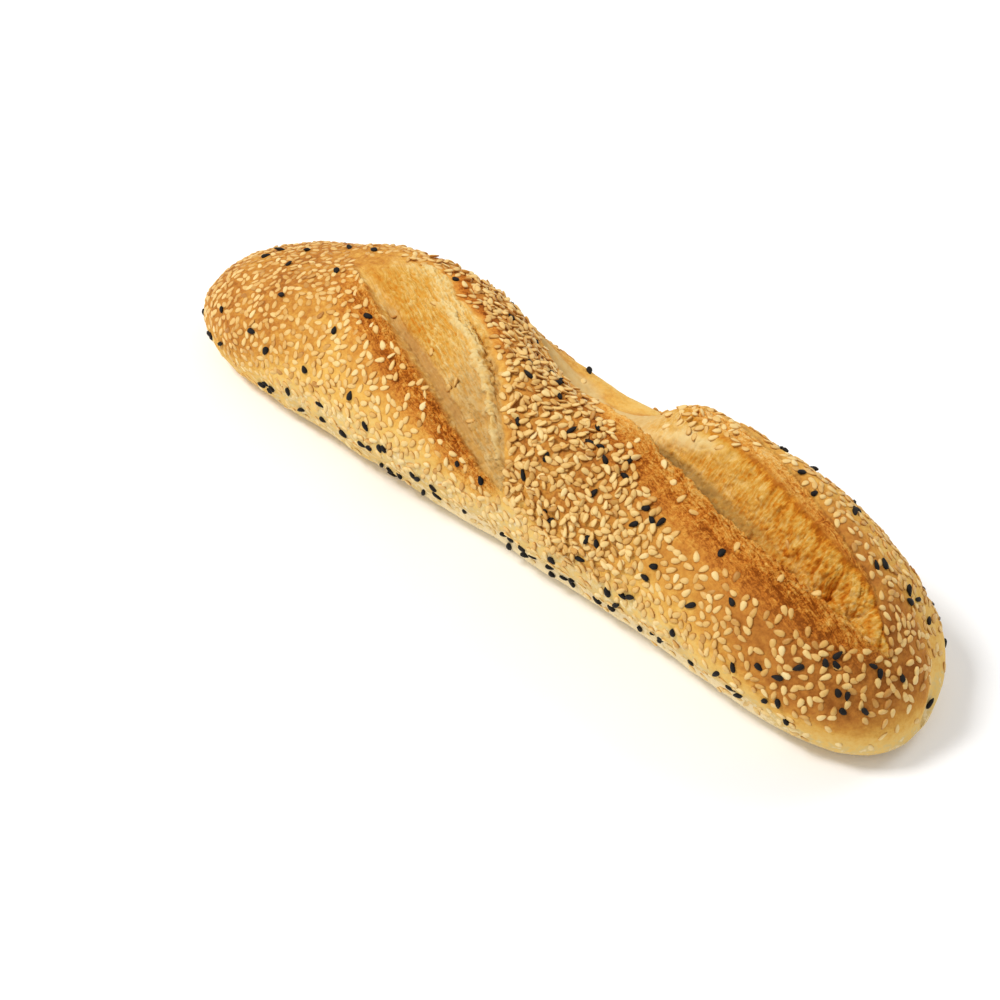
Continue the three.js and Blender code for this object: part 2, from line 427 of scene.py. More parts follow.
ribbon = bell((second.share - ribbon_share) * second.gap, RIBBON_WIDTH)
ribbon = ribbon * bell(second.along - RIBBON_ALONG, RIBBON_STRETCH) * second.inside
patch_along = (x - PATCH_PLACE[0]) / PATCH_REACH[0]
patch_across = (w - PATCH_PLACE[1]) / PATCH_REACH[1]
patch = bell(np.hypot(patch_along, patch_across), 1) * upper


def beside(score, reach):
    """How close the crust is to a score's near lip, from 1 at the lip to 0 out at the reach."""
    away = score.near - score.aside
    stretch = ease(score.along, 0.02, 0.2) * ease(score.along, 1.02, 0.95)
    return stretch * ease(away, -1.2, 0.4) * ease(away, reach, 0) * upper


FIRST_STRIP = 14
SECOND_STRIP = 19
SHOULDER_AWAY = 2.5
SHOULDER_REACH = 3
near_first = beside(first, FIRST_STRIP)
near_second = beside(second, SECOND_STRIP) * ease(second.along, 0.22, 0.45)
strip = np.clip(near_first + near_second, 0, 1)
shoulder = bell(first.aside - first.far - SHOULDER_AWAY, SHOULDER_REACH)
shoulder = shoulder * ease(first.along, 0.15, 0.3) * ease(first.along, 0.75, 0.5) * upper

# The crust's relief: lumps as size, height and noise shift, and the rest by sizes along and across a score
LUMPS = ((34, 0.9, 0), (12, 0.4, 3.1), (5, 0.22, 6.6))
FLAKE_SIZE = 2.4
FLAKE_HEIGHT = 0.5
WRINKLE_SIZE = (12, 1.9, 1)
WRINKLE_HEIGHT = 1.1
STREAK_SIZE = (16, 1.5, 1)
STREAK_HEIGHT = 0.45
KNOB_SIZE = 3.2
KNOB_HEIGHT = 3.0
lumps = sum(grain(skin, size, shift=shift) * rise for size, rise, shift in LUMPS)
flakes = grain(skin, FLAKE_SIZE, detail=4, where=strip, softness=0.5) * FLAKE_HEIGHT * strip
beside_first = near_first > near_second
lip_run = np.where(beside_first, first.run, second.run)
lip_aside = np.where(beside_first, first.aside, second.aside)
folds = grain(flat_spots(lip_run, lip_aside), WRINKLE_SIZE, detail=4, where=strip, softness=0.7)
wrinkles = (0.35 - np.abs(folds)) * WRINKLE_HEIGHT * strip
streaks = grain(second_spots, STREAK_SIZE, detail=3, shift=2.7, where=band) * STREAK_HEIGHT * band
beads = grain(skin, KNOB_SIZE, detail=3, shift=8.8, where=cluster - 0.05, softness=0.7)
knobs = np.maximum(beads, -0.2) * KNOB_HEIGHT * cluster

# The crumb's relief: strands run slantwise across the second score, and wisps along the first
CLUMP_SIZE = 5
TUFT_SIZE = 2.8
PORE_SIZE = 2.6
PORE_REACH = 0.4
STRAND_SIZE = (1.3, 20, 1)
STRAND_SWAY = 1.4
STRAND_SWAY_SIZE = 7
WISP_SIZE = (9, 1.6, 1)
DIAGONAL = math.sqrt(0.5)
in_first = first.inside
clumps = grain(skin, CLUMP_SIZE, where=crumb)
tufts = 2.4 * np.abs(grain(skin, TUFT_SIZE, detail=3, shift=5.7, where=crumb, softness=0.7)) - 0.5
pores = pits(skin, PORE_SIZE, PORE_REACH, crumb)
strand_sway = STRAND_SWAY * grain(skin, STRAND_SWAY_SIZE, shift=3.9, where=crumb_second)
strand_run = (second.run + second.aside) * DIAGONAL + strand_sway
strand_aside = (second.run - second.aside) * DIAGONAL
strand_spots = flat_spots(strand_run, strand_aside)
strands = 1 - 2.4 * np.abs(grain(strand_spots, STRAND_SIZE, shift=1.3, where=crumb_second))
pulled = ease(second.along, 0.62, 0.8) * ease(second.share, 0.25, 0.5) * crumb_second
strand = rim_stretch * bell(first.share - RIM_SHARE + rim_wander, 0.045) * in_first
smooth = np.clip(notch * ~in_first + ribbon + 0.4 * strand + 0.3 * in_first, 0, 1)
first_spots = flat_spots(first.run, first.aside)
wisps = grain(first_spots, WISP_SIZE, detail=4, shift=4.1, where=crumb_first, softness=0.7)
wisps = 1 - 3 * np.abs(wisps)
wisps = np.clip(wisps, 0, 1) * crumb_first * ease(first.share, 0.2, 0.35)
soft = (1 - 0.85 * smooth) * (1 - 0.4 * in_first)
torn = 0.9 * wisps + (0.65 * clumps + 0.45 * tufts - 0.6 * pores) * soft
torn = torn + 0.55 * strands * pulled + 0.9 * ribbon
crust_relief = lumps + flakes + wrinkles + streaks + knobs
# How high the flakes, wrinkles and streaks stand, for a painted highlight: the crust is painted paler
# there
crest = np.clip(1.5 * (flakes + wrinkles) + 1.6 * streaks, -1, 1)
surface = lumps * 0.4 * crumb + crust_relief * (1 - crumb) + torn * crumb
calm = np.where(upper, 1, ease(skin[:, 2], 0.5, 6))
skin = skin + outward * (surface * calm)[:, None]
skin[:, 2] = np.maximum(skin[:, 2], 0)
outward = set_places(skin)
loaf = bpy.data.objects.new("loaf_crust", loaf_mesh)
bpy.context.scene.collection.objects.link(loaf)
loaf_mesh.shade_smooth()


# The loaf's finish: a dry crust, cream at the foot, gold on the crown and brown beside the near lips,
# with painted light at the foot, on the +X far side, on raised flakes and along the near lips' edges, and
# painted shade on the lower sides.
# The crumb is pale, tan deep down where shade is painted in, and toasted from gold to orange along the
# second score's ridge.
class Field:
    """A value, colour or vector on a surface. It wraps a node's socket, and sums on it add Math nodes."""

    def __init__(self, tree, socket=None):
        self.tree = tree
        self.socket = socket

    def add(self, kind, settings, inputs, output=0):
        """Adds a node: its settings are set first, then its sockets are filled or linked."""
        node = self.tree.nodes.new(kind)
        for name, value in settings.items():
            if name == "stops":
                ramp = node.color_ramp
                while len(ramp.elements) < len(value):
                    ramp.elements.new(1)
                for element, (place, colour) in zip(ramp.elements, value):
                    element.position = place
                    element.color = colour
            else:
                setattr(node, name, value)
        for name, value in inputs.items():
            if isinstance(value, Field):
                self.tree.links.new(value.socket, node.inputs[name])
            else:
                node.inputs[name].default_value = value
        return Field(self.tree, node.outputs[output])

    def math(self, operation, one, other):
        return self.add("ShaderNodeMath", {"operation": operation}, {0: one, 1: other})

    def __add__(self, other):
        return self.math("ADD", self, other)

    def __sub__(self, other):
        return self.math("SUBTRACT", self, other)

    def __rsub__(self, other):
        return self.math("SUBTRACT", other, self)

    def __mul__(self, other):
        return self.math("MULTIPLY", self, other)

    __radd__ = __add__
    __rmul__ = __mul__

    def attribute(self, name):
        return self.add("ShaderNodeAttribute", {"attribute_name": name}, {}, "Fac")

    def noise(self, where, scale, detail=3.0, roughness=0.55, curl=0.0):
        sockets = {
            "Vector": where,
            "Scale": scale,
            "Detail": detail,
            "Roughness": roughness,
            "Distortion": curl,
        }
        return self.add("ShaderNodeTexNoise", {}, sockets)

    def spread(self, start, stop):
        """0 where the value is at start, 1 where it is at stop."""
        return self.add("ShaderNodeMapRange", {}, {"Value": self, "From Min": start, "From Max": stop})

    def ramp(self, stops):
        return self.add("ShaderNodeValToRGB", {"stops": stops}, {"Fac": self})

    def over(self, under, upper):
        """A colour mixed from under to upper by this share."""
        settings = {"data_type": "RGBA", "clamp_factor": True}
        return self.add("ShaderNodeMix", settings, {0: self, 6: under, 7: upper}, 2)


def light_value(channel):
    """A screen's channel, 0 to 255, as the amount of light that a shader takes."""
    share = channel / 255
    return ((share + 0.055) / 1.055) ** 2.4 if share > 0.04045 else share / 12.92


def paint(red, green, blue):
    """A colour as it looks on a screen, for a shader."""
    return (light_value(red), light_value(green), light_value(blue), 1)


def new_finish(name):
    """An empty material, as a Field to add nodes to and its shader."""
    material = bpy.data.materials.new(name)
    material.use_nodes = True
    shader = material.node_tree.nodes["Principled BSDF"]
    return material, Field(material.node_tree), shader


def dress(shader, field, socket):
    """Feeds a field into one of the shader's sockets."""
    field.tree.links.new(field.socket, shader.inputs[socket])


def keep(mesh, name, values):
    """Stores one number for each vertex as an attribute."""
    layer = mesh.attributes.new(name, "FLOAT", "POINT")
    layer.data.foreach_set("value", np.asarray(values, dtype=np.float32))


def keep_places(mesh, name, places):
    """Stores one place for each vertex as an attribute."""
    layer = mesh.attributes.new(name, "FLOAT_VECTOR", "POINT")
    layer.data.foreach_set("vector", places.astype(np.float32).ravel())


# How far each spot of the crust is baked, from 0, pale, to 1, dark brown, lowered by painted light at the
# foot, the +X far side and the near lips' edges
BLOTCH_SIZE = 30
SPOT_SIZE = 8
NOTCH_MARGIN = 12
FIRST_BROWN_AWAY = 6
FIRST_BROWN_REACH = 5
SECOND_BROWN_AWAY = 9
SECOND_BROWN_REACH = 6.5
height = skin[:, 2]
ends = np.where(x < 0, ease(x, -60, -112), ease(x, 76, 120))
left_end = ease(x, -50, -85)
blotches = grain(skin, BLOTCH_SIZE, shift=8.2)
spots = grain(skin, SPOT_SIZE, detail=3, shift=4.4)
bake = 0.02 + 0.2 * ease(height, 14 - 11 * ends, 28 - 16 * ends)
bake += 0.34 * ease(height, 19 - 12 * ends, 37 - 15 * ends)
bake += 0.1 * blotches * ease(height, 6, 22)
bake += 0.12 * spots * ease(height, 8, 25) * (1 - 0.6 * strip)
bridge = ease(first.aside - first.far, 0, 3) * ease(second.near - second.aside, 2, 8)
bridge = bridge * ease(x, -75, -35) * ease(x, 62, 25) * upper
beyond_notch = notch * ease(second.along, -0.06, 0.02) * (second.aside > 0)
beyond_notch = beyond_notch * (second.aside < second.far + NOTCH_MARGIN)
notch_brown = beyond_notch * ease(second.aside - second.far, NOTCH_MARGIN, 4)
bake += 0.16 * bridge + 0.18 * ease(x, -60, -100) + 0.14 * notch_brown
bake += 0.31 * ease(x, 50, 105) * ease(w, 20, 0) * ease(height, 8, 24) * (1 - 0.5 * near_second)
# Paler on the far side of the +X half: painted light where the lamps leave that side dim
bake -= 0.24 * ease(x, 40, 70) * ease(w, 8, 20)
first_brown = bell(first.near - first.aside - FIRST_BROWN_AWAY, FIRST_BROWN_REACH) * near_first
second_brown = bell(second.near - second.aside - SECOND_BROWN_AWAY, SECOND_BROWN_REACH) * near_second
strip_brown = np.clip(first_brown + second_brown, 0, 1)
bake += 0.12 * near_first + 0.02 * near_second + 0.16 * strip_brown + 0.2 * shoulder
far_edge = bell(first.aside - first.far, 3.5) * first.open
far_edge = far_edge + bell(second.aside - second.far, 4) * second.open * (1 - notch)
bake -= 0.16 * band + 0.12 * patch + 0.02 * far_edge * upper
# Paler along the near lips' edges: painted highlight where the lips catch the light
bake -= 0.28 * bell(first.near - first.aside, 2.4) * near_first * ease(first.along, 0.65, 0.4)
bake -= 0.22 * bell(second.near - second.aside, 4) * near_second
# Lower still at the foot along the middle: painted light where the foot curves down into its shade on the
# floor
bake = np.maximum(bake, 0.12) - 0.16 * ease(height, 15, 6) * ease(x, -40, 0) * ease(x, 118, 90)

# How far each spot of the crumb is toasted, from 0, pale, to 1, brown, with painted shade in the first
# score's pores and paler tufts
gold_slope = ease(first.share, 0.22, 0.34) * ease(first.share, 0.8, 0.6) * ease(first.along, 0.7, 0.45)
gold_line = bell((first.share - 0.3) * first.gap, 1.4) * ease(first.along, 0.6, 0.35)
first_toast_and_shade = 0.3 + 0.24 * gold_slope + 0.2 * gold_line - 0.24 * wisps - 0.16 * strand
# Browner in the slot behind the rim strand; painted shade in the pores and a painted highlight on the
# tufts
first_toast_and_shade += 0.4 * slot_stretch * bell(first.share - SLOT_SHARE, 0.05) - 0.1 * tufts + 0.15 * pores
wall_share = np.clip(second.share / second.ridge, 0, 1.2)
toast_second = 0.24 + 0.5 * ease(second.along, 0.3, 0.45) * ease(wall_share, 0.84, 1.02) + 0.08 * tufts
toast_second += 0.12 * ease(second.along, 0.44, 0.6) + 0.2 * ease(second.along, 0.45, 0.75) - 0.2 * notch
toast_second += 0.12 * pulled - 0.32 * pulled * strands
under_ribbon = bell((second.share - ribbon_share + 0.13) * second.gap, 1.2)
toast_second += -0.25 * ribbon + 0.25 * under_ribbon * bell(second.along - 0.5, 0.08)
toast = np.where(in_first, first_toast_and_shade, toast_second)

# What the finish reads from the mesh, with the places that fine lines follow along each score
SWAY = 0.9
SWAY_SIZE = 7
# Painted shade: the second score's deep floor and its pockets are marked for darker crumb
deep = floor_second * ease(second.along, 0.22, 0.42) + 0.06 * pockets
# A duller tan: the crumb's own tone in the first score's lower part, and painted shade deep in its groove
# and in the second score's notch
fluffy = np.clip(ease(floor_first, 0.7, 1.0) + 0.7 * ease(first.along, 0.5, 0.75), 0, 1)
fluffy = fluffy * (1 - 0.7 * strand)
flaky = strip + 0.8 * band + 0.7 * shoulder * (1 - crumb)
rough = 0.45 + 0.25 * left_end + 0.3 * bridge + 0.55 * strip + band + 0.15 * crumb
sway = SWAY * grain(skin, SWAY_SIZE, shift=1.9)
keep(loaf_mesh, "bake", np.clip(bake, -0.1, 1))
keep(loaf_mesh, "crumb", crumb)
keep(loaf_mesh, "toast", np.clip(toast, 0, 1))
keep(loaf_mesh, "deep", np.clip(deep, 0, 1))
keep(loaf_mesh, "fluffy", np.where(in_first, fluffy, 0.45 * notch))
keep(loaf_mesh, "crest", crest)
keep(loaf_mesh, "smooth", smooth)
keep(loaf_mesh, "flaky", np.clip(flaky, 0, 1))
keep(loaf_mesh, "rough", np.clip(rough, 0, 1))
keep_places(loaf_mesh, "first_places", flat_spots(first.run, first.aside + sway))
keep_places(loaf_mesh, "second_places", flat_spots(second.run, second.aside + sway))
keep(loaf_mesh, "first_lined", np.clip(near_first + crumb_first, 0, 1))
keep(loaf_mesh, "second_lined", np.clip(near_second + band, 0, 1))
keep(loaf_mesh, "second_threaded", crumb_second * (1 - smooth))

crust_finish, crust, crust_shader = new_finish("baked_crust")
here = crust.add("ShaderNodeTexCoord", {}, {}, "Object")
speckle = crust.noise(here, scale=1000, detail=3, roughness=0.6)
mottle = crust.noise(here, scale=190, detail=4, roughness=0.6)
flecks = crust.noise(here, scale=560, detail=3, roughness=0.5)
curls = crust.noise(here, scale=600, detail=4, roughness=0.65, curl=2.2)
blots = crust.noise(here, scale=330, detail=2, roughness=0.5)


def fibres(name, kind, along, across):
    """Fine lines beside or in a score, with so many in a millimetre along and across it."""
    places = crust.add("ShaderNodeAttribute", {"attribute_name": name + "_places"}, {}, "Vector")
    stretch = (along, across, 1)
    stretched = crust.add("ShaderNodeVectorMath", {"operation": "MULTIPLY"}, {0: places, 1: stretch})
    lines = crust.noise(stretched, scale=1, detail=4, roughness=0.62) - 0.5
    return lines * crust.attribute(name + kind)


lined = fibres("first", "_lined", along=0.14, across=1.8)
lined = lined + fibres("second", "_lined", along=0.2, across=1.8)
threaded = fibres("second", "_threaded", along=1.5, across=0.45)
# Paler on raised flakes, wrinkles and streaks: painted highlight
browning_and_light = crust.attribute("bake") - crust.attribute("crest") * 0.16 + (mottle - 0.5) * 0.34
rough_share = crust.attribute("rough")
browning_and_light = browning_and_light + ((speckle - 0.5) * 0.6 - (flecks - 0.5) * 0.85) * rough_share
flaky_share = crust.attribute("flaky")
browning_and_light = browning_and_light + lined * 1.5 + (curls - 0.5) * 2.0 * flaky_share
plain_colour = browning_and_light.ramp([
    # The brightest stop is reached mostly at the foot, where it is painted light
    (0.0, paint(247, 225, 178)),
    # The lower sides' dull cream: the pale crust's colour darkened with painted shade
    (0.1, paint(224, 194, 128)),
    (0.2, paint(238, 197, 112)),
    (0.4, paint(232, 179, 86)),
    (0.6, paint(212, 148, 62)),
    (0.8, paint(189, 120, 48)),
    (1.0, paint(150, 87, 30)),
])
flaky_colour = browning_and_light.ramp([
    (0.0, paint(251, 195, 106)),
    (0.3, paint(244, 176, 80)),
    (0.55, paint(228, 144, 50)),
    (0.8, paint(202, 109, 24)),
    (1.0, paint(156, 78, 10)),
])
crust_colour = flaky_share.over(plain_colour, flaky_colour)
fluff = crust.noise(here, scale=520, detail=5, roughness=0.75)
gap_shade = crust.noise(here, scale=640, detail=4, roughness=0.7)
fuzz = (fluff - 0.5) * (1.3 - crust.attribute("first_lined") * 0.6)
unevenness = fuzz + (mottle - 0.5) * 0.4 + (blots - 0.5) * 0.4 + lined * 1.6 + threaded * 1.4
crumb_tone = crust.attribute("toast") + unevenness * (1 - crust.attribute("smooth") * 0.8)
crumb_colour = crumb_tone.ramp([
    (0.0, paint(236, 208, 144)),
    (0.25, paint(230, 187, 106)),
    (0.5, paint(217, 164, 70)),
    (0.75, paint(210, 134, 34)),
    (1.0, paint(178, 98, 18)),
])
# Painted shade: darker crumb deep in the second score's floor and in its pockets
deep_shade_share = crust.attribute("deep").spread(0.82, 1.0) * (blots * 1.6 + 0.05)
# Duller tan crumb, partly its own tone and partly painted shade
tan_and_shade_share = crust.attribute("fluffy") * (blots * 0.8 + 0.4)
shaded_crumb = tan_and_shade_share.over(crumb_colour, paint(188, 141, 79))
shaded_crumb = deep_shade_share.over(shaded_crumb, paint(163, 124, 64))
# Darker orange specks in the crumb: painted shade of its small gaps
shaded_crumb = (gap_shade.spread(0.46, 0.3) * 0.16).over(shaded_crumb, paint(196, 128, 48))
dress(crust_shader, crust.attribute("crumb").over(crust_colour, shaded_crumb), "Base Color")
dress(crust_shader, 0.72 + crust.attribute("crumb") * 0.15 + (speckle - 0.5) * 0.25, "Roughness")
crust_shader.inputs["Specular IOR Level"].default_value = 0.1
roughening = speckle * 0.25 + flecks * 0.8 + fluff * 0.6 + lined * 0.8
roughening = roughening + threaded * 0.8 + curls * flaky_share * 0.7
roughening = roughening * (crust.attribute("bake").spread(0.1, 0.4) * 0.75 + 0.25) * rough_share
roughening = roughening * (1 - crust.attribute("crumb") * 0.5)
bump = crust.add("ShaderNodeBump", {}, {"Strength": 1.0, "Distance": 0.0011, "Height": roughening})
dress(crust_shader, bump, "Normal")
loaf_mesh.materials.append(crust_finish)
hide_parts("loaf")
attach(loaf, "root")


# The places of the seeds: they were rolled onto the wet dough before it was scored.
# They lie thickest on the bridge between the scores and on the -X end.
# Few are left beside the near lips and in the crumb.
SEED = 2648
draw = np.random.default_rng(SEED)

torn_open = first.inside | second.inside
CLEAR_PLACES = (0.15, 0.35, 0.5, 0.65, 0.8, 0.95, 1.02)
CLEAR_REACHES = (1, 6, 10, 14, 13, 7, 1)
CLEAR_BLUR = 3
FIRST_CLEAR = 13
clear_reach = np.interp(second.along, CLEAR_PLACES, CLEAR_REACHES)
away = second.near - second.aside
clear_second = (away > 0) * ease(away, clear_reach + CLEAR_BLUR, clear_reach - CLEAR_BLUR)
clear_second = clear_second * (second.along > 0) * (second.along < 1.02)
bare = (1 - 0.97 * beside(first, FIRST_CLEAR) ** 0.6) * (1 - 0.96 * clear_second)
bare *= 1 - 0.85 * shoulder
tip = ease(x, 108, 122) * ease(height, 26, 14)
foot = ease(height, 4, 8) * (outward[:, 2] > -0.75) * (1 - 0.85 * tip)
low_side = ease(height, 22, 11)
crust_wish = 0.4 + 0.8 * bridge + 0.34 * left_end - 0.06 * ease(x, 60, 90)
crust_wish = crust_wish * (1 - 0.7 * low_side) * bare
crust_wish = (crust_wish + 0.6 * cluster) * (1 - 0.9 * patch) * (1 - beyond_notch)
sesame_wish = np.where(torn_open, 0.002 + 0.8 * cluster, crust_wish) * foot
top_wish = bridge * bare * foot * ~torn_open
belly_line = bell(height - 9, 4)
nigella_wish = (0.45 - 0.2 * left_end + 0.5 * belly_line) * (0.15 + 0.85 * bare)
nigella_wish = np.where(torn_open, 0.003, nigella_wish * (1 - 0.9 * beyond_notch)) * foot

corners = np.empty(len(loaf_mesh.polygons), dtype=np.int32)
areas = np.empty(len(loaf_mesh.polygons))
loaf_mesh.polygons.foreach_get("loop_start", corners)
loaf_mesh.polygons.foreach_get("area", areas)
loop_vertices = np.empty(len(loaf_mesh.loops), dtype=np.int32)
loaf_mesh.loops.foreach_get("vertex_index", loop_vertices)
face_corners = np.sort(loop_vertices[corners[:, None] + np.arange(3)], axis=1)

# Taken spots are filed in cells of this size, which is more than any spacing
CELL = 2.5
TRIES_PER_SEED = 14


def strewn(count, wish, spacing, taken):
    """Spots of the crust to lay seeds at, by how much each wishes for one, none too close to another.

    Gives a vertex beside each spot, and the spots themselves.
    """
    weight = areas * wish[face_corners[:, 0]]
    tries = face_corners[draw.choice(len(areas), size=TRIES_PER_SEED * count, p=weight / weight.sum())]
    shares = draw.dirichlet((1, 1, 1), size=len(tries))
    vertices = []
    spots = []
    for vertex, spot in zip(tries[:, 0], np.einsum("nk,nkd->nd", shares, skin[tries])):
        cell = tuple((spot // CELL).astype(int))
        steps = (-1, 0, 1)
        around = ((cell[0] + i, cell[1] + j, cell[2] + k) for i in steps for j in steps for k in steps)
        others = [other for key in around for other in taken.get(key, ())]
        if all(np.linalg.norm(spot - other) > spacing for other in others):
            taken.setdefault(cell, []).append(spot)
            vertices.append(vertex)
            spots.append(spot)
        if len(spots) == count:
            break
    return np.array(vertices), np.array(spots)


def partners(places, share, distance):
    """The crust's vertices beside a share of the seeds, at about that distance, for a second seed."""
    chosen = places[draw.random(len(places)) < share]
    ways = draw.normal(size=(len(chosen), 3))
    ways -= outward[chosen] * np.sum(ways * outward[chosen], axis=1, keepdims=True)
    spots = skin[chosen] + distance * ways / np.linalg.norm(ways, axis=1, keepdims=True)
    return np.array([np.argmin(np.sum((skin - spot) ** 2, axis=1)) for spot in spots])


SESAME_COUNT = 2700
TOP_SESAME_COUNT = 280
NIGELLA_COUNT = 190
NIGELLA_PAIRS = 0.15
SESAME_SPACING = 1.85
TOP_SPACING = 2.2
NIGELLA_SPACING = 2.3
PAIR_DISTANCE = 2.6
taken = {}
nigella_places, nigella_spots = strewn(NIGELLA_COUNT, nigella_wish, NIGELLA_SPACING, taken)
nigella_pairs = partners(nigella_places, NIGELLA_PAIRS, PAIR_DISTANCE)
nigella_places = np.concatenate([nigella_places, nigella_pairs])
nigella_spots = np.concatenate([nigella_spots, skin[nigella_pairs]])
lying_places, lying_spots = strewn(SESAME_COUNT, sesame_wish, SESAME_SPACING, taken)
top_places, top_spots = strewn(TOP_SESAME_COUNT, top_wish, TOP_SPACING, {})
sesame_places = np.concatenate([lying_places, top_places])
sesame_spots = np.concatenate([lying_spots, top_spots])


def seed_shape(sides, rings, length, width, thickness, taper, flatness):
    """A flattened drop lying along X, its narrow end towards +X, as vertices and triangles."""
    drop = bmesh.new()
    bmesh.ops.create_uvsphere(drop, u_segments=sides, v_segments=rings, radius=1)
    bmesh.ops.triangulate(drop, faces=drop.faces)
    put_in_order(drop)
    for vertex in drop.verts:
        side, lift, run = vertex.co
        narrow = 1 - taper * run
        flat_lift = math.copysign(abs(lift) ** flatness, lift)
        vertex.co = (run * length / 2, side * width / 2 * narrow, flat_lift * thickness / 2 * narrow)
    drop.verts.ensure_lookup_table()
    points = np.array([vertex.co for vertex in drop.verts])
    faces = np.array([[corner.index for corner in face.verts] for face in drop.faces])
    drop.free()
    return points, faces


SEED_UNEVENNESS = 0.025


def scatter(name, shape, places, spots, lift, tilt, size_spread, marks):
    """One mesh with a seed at every place, turned at random, its middle lifted off the crust."""
    points, faces = shape
    count = len(places)
    lean = outward[places] + tilt[:, None] * draw.normal(size=(count, 3))
    lean /= np.linalg.norm(lean, axis=1, keepdims=True)
    heading = np.cross(lean, draw.normal(size=(count, 3)))
    heading /= np.linalg.norm(heading, axis=1, keepdims=True)
    aside = np.cross(lean, heading)
    size = 1 + size_spread * np.clip(draw.normal(size=(count, 3)), -2, 2)
    centres = spots + outward[places] * lift[:, None]
    axes = np.stack([heading, aside, lean], axis=1) * size[:, :, None]
    uneven = points * (1 + SEED_UNEVENNESS * draw.normal(size=(count, len(points), 1)))
    corners = centres[:, None, :] + np.einsum("nvk,nkd->nvd", uneven, axes)
    joined = faces[None, :, :] + (np.arange(count) * len(points))[:, None, None]
    mesh = bpy.data.meshes.new(name)
    mesh.from_pydata((corners.reshape(-1, 3) * MM).tolist(), [], joined.reshape(-1, 3).tolist())
    mesh.update()
    for mark, values in marks.items():
        keep(mesh, mark, (values * np.ones((count, len(points)))).ravel())
    piece = bpy.data.objects.new(name, mesh)
    bpy.context.scene.collection.objects.link(piece)
    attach(piece, "root")
    return piece


# Sesame seeds: hulled white sesame, flat drops about 3 mm long, toasted from cream to light gold.
# The wet dough's skin holds them: sunk in it on the -X end and the sides, and piled up on the bridge.
SESAME_LENGTH = 3.1
SESAME_WIDTH = 1.8
SESAME_THICKNESS = 0.8
sesame_shape = seed_shape(
    sides=8,
    rings=5,
    length=SESAME_LENGTH,
    width=SESAME_WIDTH,
    thickness=SESAME_THICKNESS,
    taper=0.34,
    flatness=0.75,
)

on_top = np.arange(len(sesame_places)) >= len(lying_places)
sesame_count = len(sesame_places)
sunk = 0.46 + 0.22 * left_end + 0.14 * low_side - 0.12 * bridge
cover = sunk[sesame_places] + 0.1 * draw.normal(size=sesame_count) - 0.75 * on_top
sesame_lift = SESAME_THICKNESS * (0.5 - np.clip(cover, -0.6, 0.8))
sesame_tilt = 0.1 + 0.1 * bridge[sesame_places] + 0.15 * on_top
toasting = 0.42 + 0.14 * ease(x, 50, 90) + 0.16 * left_end + 0.06 * bridge - 0.24 * low_side
tone = np.clip(toasting[sesame_places] + 0.15 * draw.normal(size=sesame_count), 0, 1)
seed_points = sesame_shape[0]
# Darker at each seed's edge and underside: partly a browner rim, partly painted shade where it meets the
# crust
rim_and_shade_mark = 1 - np.clip(seed_points[:, 2] / seed_points[:, 2].max(), 0, 1)
tip_mark = np.clip(seed_points[:, 0] / seed_points[:, 0].max(), 0, 1)
sesame_marks = {"tone": tone[:, None], "rim": rim_and_shade_mark, "tip": tip_mark}
sesame = scatter(
    "sesame_seeds",
    sesame_shape,
    sesame_places,
    sesame_spots,
    lift=sesame_lift,
    tilt=sesame_tilt,
    size_spread=0.07,
    marks=sesame_marks,
)
sesame.data.shade_smooth()
sesame_finish, hull, hull_shader = new_finish("toasted_sesame")
hull_here = hull.add("ShaderNodeTexCoord", {}, {}, "Object")
hull_mottle = hull.noise(hull_here, scale=800, detail=3)
# Browner rim and painted shade at the seed's edge and underside
rim_and_shade_share = hull.attribute("rim").spread(0.4, 1.0) * 0.42
tip_share = hull.attribute("tip").spread(0.5, 1.0) * 0.18
hull_tone = hull.attribute("tone") + rim_and_shade_share + tip_share + (hull_mottle - 0.5) * 0.35
hull_colour = hull_tone.ramp([
    (0.0, paint(246, 220, 158)),
    (0.35, paint(239, 202, 128)),
    (0.7, paint(218, 166, 84)),
    (1.0, paint(182, 122, 50)),
])
dress(hull_shader, hull_colour, "Base Color")
dress(hull_shader, 0.5 + (hull_mottle - 0.5) * 0.2, "Roughness")
hull_shader.inputs["Specular IOR Level"].default_value = 0.35
hull_bump = hull.add("ShaderNodeBump", {}, {"Strength": 0.3, "Distance": 0.0002, "Height": hull_mottle})
dress(hull_shader, hull_bump, "Normal")
sesame.data.materials.append(sesame_finish)


# Nigella seeds: black, matt drops, plumper than the sesame seeds and stuck on in the same way.
# Some lie in pairs, and they are thickest along the lower sides.
NIGELLA_LENGTH = 3.1
NIGELLA_WIDTH = 1.75
NIGELLA_THICKNESS = 1.3
nigella_shape = seed_shape(
    sides=6,
    rings=6,
    length=NIGELLA_LENGTH,
    width=NIGELLA_WIDTH,
    thickness=NIGELLA_THICKNESS,
    taper=0.3,
    flatness=1,
)
nigella_count = len(nigella_places)
nigella_lift = draw.uniform(0.1, 0.45, size=nigella_count)
nigella_tilt = np.full(nigella_count, 0.2)
nigella_marks = {"tone": draw.uniform(0, 1, size=(nigella_count, 1))}
nigella = scatter(
    "nigella_seeds",
    nigella_shape,
    nigella_places,
    nigella_spots,
    lift=nigella_lift,
    tilt=nigella_tilt,
    size_spread=0.1,
    marks=nigella_marks,
)
nigella_finish, husk, husk_shader = new_finish("black_nigella")
husk_here = husk.add("ShaderNodeTexCoord", {}, {}, "Object")
husk_wrinkle = husk.noise(husk_here, scale=2200, detail=3)
husk_colour = (husk.attribute("tone") * 0.5 + husk_wrinkle * 0.5).ramp([
    (0.2, paint(12, 10, 9)),
    (1.0, paint(34, 29, 25)),
])
dress(husk_shader, husk_colour, "Base Color")
dress(husk_shader, 0.6 + husk_wrinkle * 0.2, "Roughness")
